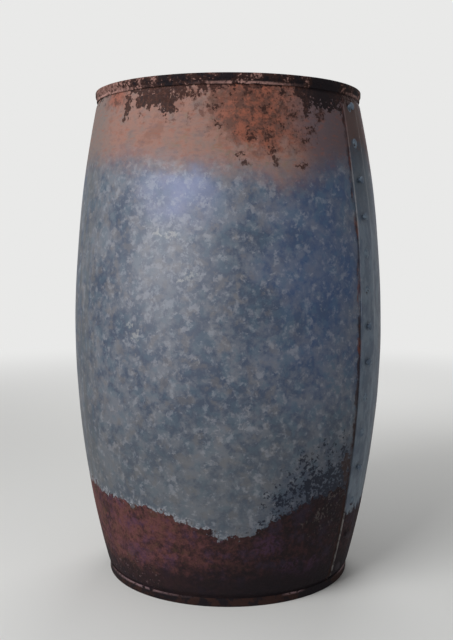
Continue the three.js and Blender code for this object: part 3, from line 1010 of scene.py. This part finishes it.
def rim_rust(shader, colours, under, ragged, fine):
    """Dark ragged scale that runs down from under the top hoop, with drips and burst blisters."""
    level, azimuth = shader.level, shader.azimuth
    strayed = level + 0.05 * ragged
    grit = shader.grain(0.0085, 5.0, shift=51.0, roughness=0.7)
    bare = strayed.rise(0.848, 0.860) * azimuth.hump(-51, 12)
    bright = shader.mix(grit.rise(0.42, 0.60), colours.rust_bright, colours.rust_brown)
    clear = 1 - bare.rise(0.15, 0.4)
    depth = (level - shader.line(SCALE_LINE)) / 0.012 + 8 * ragged + 4 * fine
    black = azimuth.hump(40, 17) * strayed.rise(0.842, 0.854)
    band = shader.cluster(depth.rise(-1.2, 2.0) * clear, grit, 0.30 + 0.2 * black)
    band = band | shader.cluster(shader.blots(DRIPS), grit, 0.42)
    speckle = shader.grain(0.0055, 5.0, shift=15.0, roughness=0.72)
    blisters = shader.blots(BLISTERS)
    spots = shader.cluster(blisters, speckle, 0.23)
    place = level.rise(0.755, 0.80) * azimuth.hump(16, 34)
    specks = shader.cluster(place, speckle + 0.3 * ragged, 0.15)
    under_rim = level.rise(0.80, 0.87) * azimuth.hump(-2, 54)
    stains = shader.cluster(under_rim, grit + 0.9 * ragged, 0.24)
    rust = shader.mix(grit.rise(0.40, 0.54), colours.scale_black, colours.rust_dark)
    rust = shader.mix(0.6 * (1 - speckle.rise(0.38, 0.50)), rust, colours.rust_brown)
    colour = shader.layers(
        under,
        (0.9 * bare, bright),
        ((0.6 * stains) | (0.5 * blisters), colours.rust_brown),
        (0.6 * specks, colours.rust_dark),
        (0.75 * spots, colours.rust_dark),
        (0.9 * band, rust),
        (0.9 * black * band, colours.scale_black),
    )
    return colour, band | spots


def foot_rust(shader, colours, under, ragged, coarse, fine):
    """Maroon rust up to a crisp ragged tide line, darker at the right and black above the lower hoop."""
    level, azimuth = shader.level, shader.azimuth
    tide = shader.line(TIDE_LINE)
    grime = shader.grain(0.009, 5.0, shift=21.0, roughness=0.72)
    spikes = shader.grain(0.006, 2.0, upright=2.5, shift=71.0) - 0.5
    height = level - tide + 0.06 * ragged + 0.02 * spikes * coarse.rise(-0.05, 0.08) + 0.015 * fine
    foot = 1 - height.rise(-0.0010, 0.0014)
    fringe = height.rise(0.0, 0.0015) * (1 - height.rise(0.003, 0.014))
    fringe = fringe * azimuth.span(-170, 10, 20) * (grime + fine).rise(0.44, 0.56)
    ticks = (spikes + 0.4 * ragged).rise(0.08, 0.14) * (1 - height.rise(0.002, 0.016))

    near = azimuth.rise(-2, 34) * (1 - azimuth.rise(SEAM_EDGE - 1, SEAM_EDGE))
    above = near * (1 - (level - tide).rise(-0.01, 0.13))
    spray = shader.grain(0.0055, 5.0, shift=27.0, roughness=0.7)
    places = shader.blots(SOOT)
    specks = shader.cluster(0.9 * above + 0.3 * places, spray + 0.9 * ragged, 0.26)
    seep = shader.cluster(shader.blots(SEEP), spray, 0.4)
    above_foot = shader.layers(
        under,
        (0.65 * fringe, colours.zinc_pale),
        (0.6 * ticks, colours.rust_dark),
        ((0.6 * above) | (0.4 * places), colours.soot_blue),
        (0.9 * specks, colours.soot),
        (0.8 * seep, colours.rust_dark),
    )

    flecks = shader.grain(0.009, 6.0, shift=31.0, roughness=0.75)
    hue = shader.grain(0.03, 6.0, shift=81.0, roughness=0.7)
    clouds = shader.grain(0.045, 4.0, shift=38.0, roughness=0.6)
    dark = (azimuth + 40 * coarse).span(-40, 170, 56)
    black = shader.layers(
        colours.scale_black,
        (0.8 * flecks.rise(0.46, 0.62), colours.maroon_deep),
        (0.5 * (1 - hue.rise(0.38, 0.50)), colours.violet_black),
    )
    corner = azimuth.hump(42, 18) * level.rise(0.09, 0.16)
    chips = shader.cluster(corner, spray + 0.8 * ragged, 0.12)
    violet = shader.blots(VIOLET_PLACES) * (hue + fine).rise(0.36, 0.60)
    lowest = 1 - (level + 0.06 * coarse + 0.08 * ragged).rise(0.045, 0.085)
    rubbed = (grime + 0.5 * fine).rise(0.60, 0.70) * level.hump(0.045, 0.045)
    maroon = shader.layers(
        colours.maroon_deep,
        ((0.6 * flecks + 0.4 * clouds).rise(0.39, 0.58), colours.maroon),
        (0.5 * hue.rise(0.50, 0.66), colours.rust_olive),
        (0.5 * (1 - hue.rise(0.34, 0.50)), colours.maroon_violet),
        (0.9 * dark, black),
        (0.6 * corner, colours.scale_black),
        (0.35 * chips, colours.dust_grey),
        (0.45 * violet, colours.maroon_violet),
        (0.85 * lowest, colours.scale_black),
        (0.6 * (rubbed * azimuth.span(-80, -20, 22)), colours.worn_rose),
    )
    return shader.mix(foot, above_foot, maroon), foot


def lap_colour(shader, colours, under, ragged, coarse):
    """The lap's outer layer, greyer and cleaner than the sheet beside it, with rust along its edge and a
    painted highlight on the edge itself.
    """
    level, azimuth = shader.level, shader.azimuth
    on_lap = azimuth.rise(SEAM_EDGE - 0.05, SEAM_EDGE + 0.05) * (1 - azimuth.rise(66, 76))
    blotch = shader.grain(0.024, 5.0, upright=1.5, shift=91.0, roughness=0.65)
    strip = shader.layers(
        colours.lap_shade,
        (blotch.rise(0.40, 0.60), colours.lap_grey),
        ((level + 0.1 * coarse).rise(0.62, 0.73), colours.lap_teal),
        ((level + 0.1 * ragged).rise(0.79, 0.81), colours.lap_brown),
    )
    clean = on_lap * (level + 0.05 * ragged).rise(0.135, 0.15)
    from_edge = SEAM_EDGE - azimuth
    bleed = from_edge.rise(-0.06, 0.06) * (1 - (from_edge + 6 * ragged).rise(0.9, 2.4))
    bleed = bleed * shader.grain(0.03, 4.0, upright=3.0, shift=41.0).rise(0.34, 0.54)
    warm = bleed * blotch.rise(0.50, 0.58) * level.rise(0.36, 0.48)
    # Painted highlight: a pale line along the lap's outer edge, at the foot and, fainter, round 0.7 m up
    worn = azimuth.hump(SEAM_EDGE + 0.12, 0.36) * ragged.rise(-0.14, 0.02)
    worn = worn * ((1 - level.rise(0.13, 0.17)) | 0.6 * level.hump(0.70, 0.16))
    colour = shader.layers(
        under,
        (0.75 * clean, strip),
        (0.85 * bleed, colours.rust_dark),
        (0.6 * warm, colours.rust_orange),
        (0.6 * worn, colours.lap_edge_highlight),
    )
    return colour, bleed


def sheet_finish(colours):
    """Zinc-coated sheet, dusted with rust below its rim and rusted through the zinc at its foot."""
    shader = Shader("weathered_zinc_sheet")
    ragged = shader.grain(0.016, 5.0, shift=3.1, roughness=0.64) - 0.5
    coarse = shader.grain(0.09, 3.0, shift=9.4) - 0.5
    fine = shader.grain(0.005, 3.0, shift=8.2) - 0.5
    colour, tone = zinc_colour(shader, colours)
    colour, dust = dust_layer(shader, colours, colour, ragged, coarse)
    colour, foot = foot_rust(shader, colours, colour, ragged, coarse, fine)
    colour, bleed = lap_colour(shader, colours, colour, ragged, coarse)
    colour, rim = rim_rust(shader, colours, colour, ragged, fine)
    rust = foot | rim | bleed
    roughness = 0.50 + 0.08 * tone + 0.20 * dust + 0.3 * rust
    metallic = 0.2 * (1 - dust) * (1 - rust)
    pitted = shader.bump(fine * (0.25 + rust) + 0.5 * ragged * (0.12 + rust), 0.0015)
    scaled = shader.bump(0.5 * foot + rim, 0.0003, pitted)
    return shader.finish(colour, roughness & 0.95, metallic, scaled)


def hoop_finish(colours, name, warmth, worn_level, worn_reach, worn_places):
    """Black and dark brown scale, warmer at the front's left, and rubbed to pink in places at one edge."""
    shader = Shader(name)
    azimuth = shader.azimuth
    ragged = shader.grain(0.014, 5.0, shift=2.2, roughness=0.65) - 0.5
    fine = shader.grain(0.004, 3.0, shift=5.6) - 0.5
    left = azimuth.hump(-60, 34)
    patches = shader.grain(0.022, 5.0, shift=14.0, roughness=0.7) + 0.27 * warmth * left
    patches = patches - 0.12 * azimuth.hump(44, 16)
    tan = shader.mix(0.4 + 2 * fine, colours.rust_brown, colours.worn_pink)
    places = reduce(or_, (azimuth.hump(*place) for place in worn_places))
    worn = (abs(shader.level - worn_level) + 0.006 * ragged).rise(worn_reach, 0.4 * worn_reach)
    worn = worn * places * (ragged + 0.5 * fine).rise(-0.14, 0.02)
    colour = shader.layers(
        colours.scale_black,
        (patches.rise(0.44, 0.54), colours.rust_dark),
        (0.8 * warmth * (patches + 0.6 * fine).rise(0.56, 0.68), tan),
        (0.75 * worn, shader.mix(warmth, colours.worn_rose, colours.worn_pink)),
    )
    normal = shader.bump(fine + 0.6 * ragged, 0.0014)
    return shader.finish(colour, 0.88 - 0.2 * worn, 0.08 + 0.15 * worn, normal)


def head_finish(colours):
    """A head rusted all over, with darker scale where rainwater stands round its rim."""
    shader = Shader("rusted_head")
    ragged = shader.grain(0.03, 5.0, shift=6.2, roughness=0.62) - 0.5
    fine = shader.grain(0.004, 3.0, shift=1.6) - 0.5
    out = shader.vectors("LENGTH", shader.vector(shader.x, shader.y), output="Value")
    dust = shader.grain(0.11, 4.0, shift=17.0).rise(0.46, 0.64)
    grit = shader.grain(0.009, 5.0, shift=23.0, roughness=0.68)
    colour = shader.layers(
        colours.rust_brown,
        (ragged.rise(-0.14, 0.14), colours.rust_orange),
        (0.6 * dust, colours.dust),
        (0.7 * (grit + 0.6 * ragged).rise(0.52, 0.64), colours.rust_dark),
        (0.75 * (out + 0.09 * ragged).rise(0.180, 0.222), colours.scale_black),
    )
    normal = shader.bump(fine + 0.6 * ragged, 0.0016)
    return shader.finish(colour, 0.92 - 0.1 * dust, 0.05, normal)


def rivet_finish(colours):
    """Dull zinc on the rivets' heads, brown in places and all over near the foot."""
    shader = Shader("weathered_rivet")
    ragged = shader.grain(0.012, 4.0, shift=4.2) - 0.5
    fine = shader.grain(0.003, 3.0, shift=7.7) - 0.5
    low = 1 - (shader.level + 0.1 * ragged).rise(0.14, 0.17)
    rust = low | (ragged + 0.4 * fine).rise(0.12, 0.2)
    zinc = shader.mix(ragged.rise(-0.12, 0.12), colours.lap_shade, colours.lap_grey)
    normal = shader.bump(fine + 0.4 * ragged, 0.0008)
    colour = shader.mix(0.85 * rust, zinc, colours.rust_dark)
    return shader.finish(colour, 0.6 + 0.25 * rust, 0.25 - 0.2 * rust, normal)


def plug_finish(colours):
    """Cast iron with an even brown rust, polished a little where a wrench has gripped it."""
    shader = Shader("rusted_casting")
    ragged = shader.grain(0.01, 5.0, shift=9.9, roughness=0.65) - 0.5
    fine = shader.grain(0.0022, 3.0, shift=3.4) - 0.5
    gripped = shader.level.rise(BARREL_TOP - 0.010, BARREL_TOP - 0.006) * ragged.rise(-0.12, 0.08)
    colour = shader.layers(
        colours.rust_brown,
        (ragged.rise(-0.12, 0.16), colours.rust_orange),
        (0.7 * (fine + ragged).rise(0.06, 0.22), colours.scale_black),
        (0.5 * gripped, colours.worn_pink),
    )
    normal = shader.bump(fine + 0.7 * ragged, 0.0009)
    return shader.finish(colour, 0.86 - 0.3 * gripped, 0.15 + 0.4 * gripped, normal)


def rubber_finish(colours):
    """Old black rubber with a bloom of dust."""
    shader = Shader("old_rubber")
    bloom = shader.grain(0.008, 4.0, shift=2.8).rise(0.4, 0.7)
    colour = shader.mix(0.5 * bloom, colours.rubber, colours.dust_and_shade)
    normal = shader.bump(shader.grain(0.0015, 2.0, shift=4.0), 0.0003)
    return shader.finish(colour, 0.78 + 0.12 * bloom, 0.0, normal)


# Stage

def seen_only(shader):
    """One for what the camera, a reflection or a glass sees, and nought for light that falls on things."""
    path = shader.node("ShaderNodeLightPath").socket.node.outputs
    kinds = ("Is Camera Ray", "Is Glossy Ray", "Is Transmission Ray")
    return reduce(or_, (Wire(shader, path[kind]) for kind in kinds))


def stage_floor(sizes):
    """A pale floor that keeps the barrel's shadow and runs into the backdrop further out."""
    material = bpy.data.materials.new("pale_floor")
    shader = Tree(emptied(material))
    surface = shader.node("ShaderNodeBsdfPrincipled", {"Base Color": (*sizes.floor, 1.0), "Roughness": 0.9})
    backdrop = shader.node("ShaderNodeEmission", {"Color": (*sizes.backdrop, 1.0), "Strength": 1.0})
    away = shader.vectors("LENGTH", shader.node("ShaderNodeTexCoord", output="Object"), output="Value")
    far = away.rise(sizes.floor_fade, 4 * sizes.floor_fade)
    either = shader.node("ShaderNodeMixShader", {0: far * seen_only(shader), 1: surface, 2: backdrop})
    shader.node("ShaderNodeOutputMaterial", {"Surface": either})
    shape = bmesh.new()
    bmesh.ops.create_circle(shape, cap_ends=True, segments=FLOOR_SIDES, radius=sizes.floor_radius)
    mesh = mesh_of("floor", shape)
    mesh.materials.append(material)
    floor = placed("floor", mesh)


def stage_lamp(name, sizes, azimuth, elevation, power):
    """A square soft lamp that looks at the barrel's middle."""
    lamp = bpy.data.lights.new(name, "AREA")
    lamp.size = sizes.lamp_width
    lamp.energy = power
    holder = placed(name, lamp)
    middle = Vector((0.0, 0.0, BARREL_TOP / 2))
    level = math.cos(elevation)
    away = Vector((math.sin(azimuth) * level, -math.cos(azimuth) * level, math.sin(elevation)))
    holder.location = middle + sizes.lamp_distance * away
    holder.rotation_euler = (-away).to_track_quat("-Z", "Y").to_euler()


def stage_world(sizes):
    """Even light all round. The camera, reflections and glass see a pale backdrop in its place."""
    world = bpy.data.worlds.new("studio")
    bpy.context.scene.world = world
    shader = Tree(emptied(world))
    light = shader.node("ShaderNodeBackground", {"Color": (1.0, 1.0, 1.0, 1.0), "Strength": sizes.ambient})
    backdrop = shader.node("ShaderNodeBackground", {"Color": (*sizes.backdrop, 1.0), "Strength": 1.0})
    either = shader.node("ShaderNodeMixShader", {0: seen_only(shader), 1: light, 2: backdrop})
    shader.node("ShaderNodeOutputWorld", {"Surface": either})


def stage_camera(sizes):
    camera = bpy.data.cameras.new("camera")
    camera.lens = sizes.lens
    camera.sensor_fit = "VERTICAL"
    camera.sensor_height = sizes.sensor
    holder = placed("camera", camera)
    holder.location = (0.0, -sizes.camera_distance, sizes.camera_level)
    holder.rotation_euler = (math.pi / 2 - sizes.camera_tilt, 0.0, sizes.camera_turn)
    bpy.context.scene.camera = holder


# Operators

def turned(name, outline, material, centre, segments, closed=False, waviness=0.0, wave_length=1.0):
    """An outline turned round an upright axis through a centre."""
    sizes = {
        "Centre": centre,
        "Segments": segments,
        "Waviness": waviness,
        "Wave Length": wave_length,
        "Material": material,
    }
    tree = bpy.data.node_groups.get("turned_outline") or turning_tree()
    return smooth(grow(name, outline_mesh(name, outline, closed), tree, sizes))


class BARREL_OT_stage(bpy.types.Operator):
    """Sets up the camera, lamps, floor and backdrop"""

    bl_idname = "barrel.stage"
    bl_label = "Studio"

    def execute(self, context):
        sizes = context.scene.barrel_studio
        stage_camera(sizes)
        stage_floor(sizes)
        stage_world(sizes)
        stage_lamp("key", sizes, sizes.key_azimuth, sizes.key_elevation, sizes.key_power)
        stage_lamp("fill", sizes, sizes.fill_azimuth, sizes.fill_elevation, sizes.fill_power)
        context.scene.view_settings.view_transform = "Standard"
        return {"FINISHED"}


class BARREL_OT_shell(bpy.types.Operator):
    """Rolls the sheet round the barrel, with its riveted lap"""

    bl_idname = "barrel.shell"
    bl_label = "Shell"

    def execute(self, context):
        mesh = sheet_mesh(context.scene.barrel_shell)
        finish = sheet_finish(context.scene.barrel_finish)
        add_piece("body_sheet", mesh, finish, "barrel", ["body_shell"])
        return {"FINISHED"}


class BARREL_OT_rivets(bpy.types.Operator):
    """Sets the rivets down the lap"""

    bl_idname = "barrel.rivets"
    bl_label = "Seam Rivets"

    def execute(self, context):
        size = context.scene.barrel_rivets
        shell = context.scene.barrel_shell
        rivet = turned("rivet", rivet_outline(size, shell.sheet), None, (0.0, 0.0, 0.0), RIVET_SIDES)
        finish = rivet_finish(context.scene.barrel_finish)
        sizes = {
            "Sheet": bpy.data.objects["body_sheet"],
            "Count": size.count,
            "Top Level": TOP_RIVET,
            "Pitch": size.pitch,
            "Seam Angle": math.radians(RIVET_LINE),
            "Clear Radius": 1.2 * shell.belly_radius,
            "Variation": size.variation,
            "Seed": RIVET_SEED,
            "Material": finish,
        }
        mesh = smooth(grow("seam_rivets", rivet, rivet_tree(), sizes))
        add_piece("seam_rivets", mesh, finish, "barrel", RIVET_NODES)
        return {"FINISHED"}


def hoop_mesh(name, size, outline, base, azimuth, finish):
    """A turned hoop, with the groove outside where the ends of its bar meet."""
    beaten = {"waviness": size.waviness, "wave_length": HOOP_WAVE}
    ring = turned(name, outline, finish, (0.0, 0.0, base), HOOP_SIDES, closed=True, **beaten)
    radius = max(point[0] for point in outline)
    levels = [base + point[1] for point in outline]
    centre = Vector((math.sin(azimuth) * radius, -math.cos(azimuth) * radius, 0.0))
    low, high = min(levels) - size.joint_depth, max(levels) + size.joint_depth
    groove = block("groove", size.joint_width, 2 * size.joint_depth, low, high, SLACK, centre, azimuth)
    return smooth(combined(ring, groove, "DIFFERENCE"))


class BARREL_OT_hoops(bpy.types.Operator):
    """Closes both ends of the barrel with channel hoops"""

    bl_idname = "barrel.hoops"
    bl_label = "Hoops"

    def execute(self, context):
        size = context.scene.barrel_ends
        colours = context.scene.barrel_finish
        outline = hoop_outline(size, UPPER_NECK["end_radius"], BARREL_TOP - TOP_HOOP_LOW, size.bead)
        finish = hoop_finish(
            colours, "rusted_top_hoop",
            warmth=1.0, worn_level=TOP_HOOP_LOW + 0.001, worn_reach=0.005, worn_places=TOP_RUBBED,
        )
        mesh = hoop_mesh("top_channel", size, outline, BARREL_TOP, math.radians(SEAM_EDGE), finish)
        add_piece("top_channel", mesh, finish, "barrel", ["top_hoop"])

        outline = upside_down(hoop_outline(size, LOWER_NECK["end_radius"], BOTTOM_HOOP_HIGH, 0.0))
        finish = hoop_finish(
            colours, "rusted_bottom_hoop",
            warmth=0.0, worn_level=BOTTOM_HOOP_HIGH, worn_reach=0.0045, worn_places=BOTTOM_RUBBED,
        )
        mesh = hoop_mesh("bottom_channel", size, outline, 0.0, math.pi, finish)
        add_piece("bottom_channel", mesh, finish, "barrel", ["bottom_hoop"])
        return {"FINISHED"}


class BARREL_OT_heads(bpy.types.Operator):
    """Presses the two heads, and cuts the top one for its two collars"""

    bl_idname = "barrel.heads"
    bl_label = "Heads"

    def execute(self, context):
        size = context.scene.barrel_ends
        finish = head_finish(context.scene.barrel_finish)
        dished = {"segments": HEAD_SIDES, "waviness": 2 * size.waviness, "wave_length": HEAD_WAVE}
        outline = head_outline(size, UPPER_NECK["end_radius"], size.top_recess)
        mesh = turned("top_lid", outline, finish, (0.0, 0.0, BARREL_TOP), **dished)
        for closure, centre in closures(context.scene):
            hole = closure.bore + size.collar_wall + CLEARANCE
            drill = [(0.0, -DRILL_REACH), (hole, -DRILL_REACH), (hole, DRILL_REACH), (0.0, DRILL_REACH)]
            tool = turned("drill", drill, finish, centre, DRILL_SIDES)
            mesh = combined(mesh, tool, "DIFFERENCE")
        add_piece("top_lid", smooth(mesh), finish, "barrel", ["top_head"])

        outline = upside_down(head_outline(size, LOWER_NECK["end_radius"], size.bottom_recess))
        mesh = turned("bottom_lid", outline, finish, (0.0, 0.0, 0.0), **dished)
        add_piece("bottom_lid", mesh, finish, "barrel", ["bottom_head"])
        return {"FINISHED"}


def closures(scene):
    """Each closure's sizes, with the place on the head's deck where its axis stands."""
    found = []
    for closure, node in ((scene.barrel_bung, "bung_collar"), (scene.barrel_vent, "vent_collar")):
        low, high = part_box(node)
        centre = (low + high) / 2
        found.append((closure, Vector((centre.x, centre.y, high.z - scene.barrel_ends.collar_rise))))
    return found


def plug_mesh(name, size, closure, centre, finish):
    """A cap with a square boss, and a thread wound round the core under it."""
    cap_top = size.collar_rise + 2 * CLEARANCE + closure.gasket + closure.cap
    cap = turned(name, cap_outline(size, closure), finish, centre, CLOSURE_SIDES)
    boss_low = centre.z + cap_top - 0.5 * closure.cap
    boss_high = centre.z + cap_top + closure.square_height
    boss = block("boss", closure.square, closure.square, boss_low, boss_high, SQUARE_BEVEL, centre)
    cap = combined(cap, boss, "UNION")
    crest = closure.thread_pitch * THREAD_CREST
    depth = closure.bore - closure.core - CLEARANCE
    profile = [(-THREAD_ROOT, -crest), (depth, 0.0), (-THREAD_ROOT, crest)]
    ridge = outline_mesh("ridge", profile, closed=True)
    turns = (closure.core_below + size.collar_rise) / closure.thread_pitch - 1
    sizes = {
        "Centre": centre + Vector((0.0, 0.0, THREAD_START * closure.thread_pitch - closure.core_below)),
        "Radius": closure.core,
        "Pitch": closure.thread_pitch,
        "Turns": turns,
        "Steps": round(THREAD_STEPS * turns),
        "Material": finish,
    }
    thread = smooth(grow("thread", ridge, thread_tree(), sizes))
    return smooth(joined(name, cap, thread))


class BARREL_OT_closures(bpy.types.Operator):
    """Fits the bung and the vent: collars, gaskets and screw plugs"""

    bl_idname = "barrel.closures"
    bl_label = "Bung and Vent"

    def execute(self, context):
        size = context.scene.barrel_ends
        colours = context.scene.barrel_finish
        steel = hoop_finish(
            colours, "rusted_collar",
            warmth=1.0, worn_level=BARREL_TOP, worn_reach=0.001, worn_places=ALL_ROUND,
        )
        cast = plug_finish(colours)
        rubber = rubber_finish(colours)
        beaten = {"waviness": COLLAR_WAVINESS, "wave_length": COLLAR_WAVE}
        for name, (closure, centre) in zip(("bung", "vent"), closures(context.scene)):
            outline = collar_outline(size, closure)
            ring = turned(name, outline, steel, centre, CLOSURE_SIDES, closed=True, **beaten)
            add_piece(f"{name}_neck", ring, steel, "barrel", [f"{name}_collar"])
            seal = turned(name, gasket_outline(size, closure), rubber, centre, CLOSURE_SIDES, closed=True)
            add_piece(f"{name}_washer", seal, rubber, f"{name}_seal", [f"{name}_gasket"])
            plug = plug_mesh(name, size, closure, centre, cast)
            add_piece(f"{name}_screw", plug, cast, name, [f"{name}_plug"])
        return {"FINISHED"}


class BARREL_PT_tools(bpy.types.Panel):
    """Lists the barrel's parts and their sizes"""

    bl_idname = "BARREL_PT_tools"
    bl_label = "Riveted Barrel"
    bl_space_type = "VIEW_3D"
    bl_region_type = "UI"
    bl_category = "Barrel"

    def draw(self, context):
        for operator, groups in PARTS:
            box = self.layout.box()
            box.operator(operator.bl_idname)
            for group in groups:
                sizes = getattr(context.scene, group)
                for name in sizes.__annotations__:
                    box.prop(sizes, name)


PARTS = (
    (BARREL_OT_stage, ("barrel_studio",)),
    (BARREL_OT_shell, ("barrel_shell", "barrel_finish")),
    (BARREL_OT_rivets, ("barrel_rivets",)),
    (BARREL_OT_hoops, ("barrel_ends",)),
    (BARREL_OT_heads, ()),
    (BARREL_OT_closures, ("barrel_bung", "barrel_vent")),
)
GROUPS = {
    "barrel_shell": BarrelShell,
    "barrel_rivets": BarrelRivets,
    "barrel_ends": BarrelEnds,
    "barrel_bung": BarrelBung,
    "barrel_vent": BarrelVent,
    "barrel_finish": BarrelFinish,
    "barrel_studio": BarrelStudio,
}


def register():
    for name, group in GROUPS.items():
        bpy.utils.register_class(group)
        setattr(bpy.types.Scene, name, bpy.props.PointerProperty(type=group))
    for operator, _ in PARTS:
        bpy.utils.register_class(operator)
    bpy.utils.register_class(BARREL_PT_tools)


def unregister():
    bpy.utils.unregister_class(BARREL_PT_tools)
    for operator, _ in reversed(PARTS):
        bpy.utils.unregister_class(operator)
    for name, group in reversed(GROUPS.items()):
        delattr(bpy.types.Scene, name)
        bpy.utils.unregister_class(group)


def main():
    register()
    bpy.ops.barrel.stage()
    bpy.ops.barrel.shell()
    bpy.ops.barrel.rivets()
    bpy.ops.barrel.hoops()
    bpy.ops.barrel.heads()
    bpy.ops.barrel.closures()


if __name__ == "__main__":
    main()
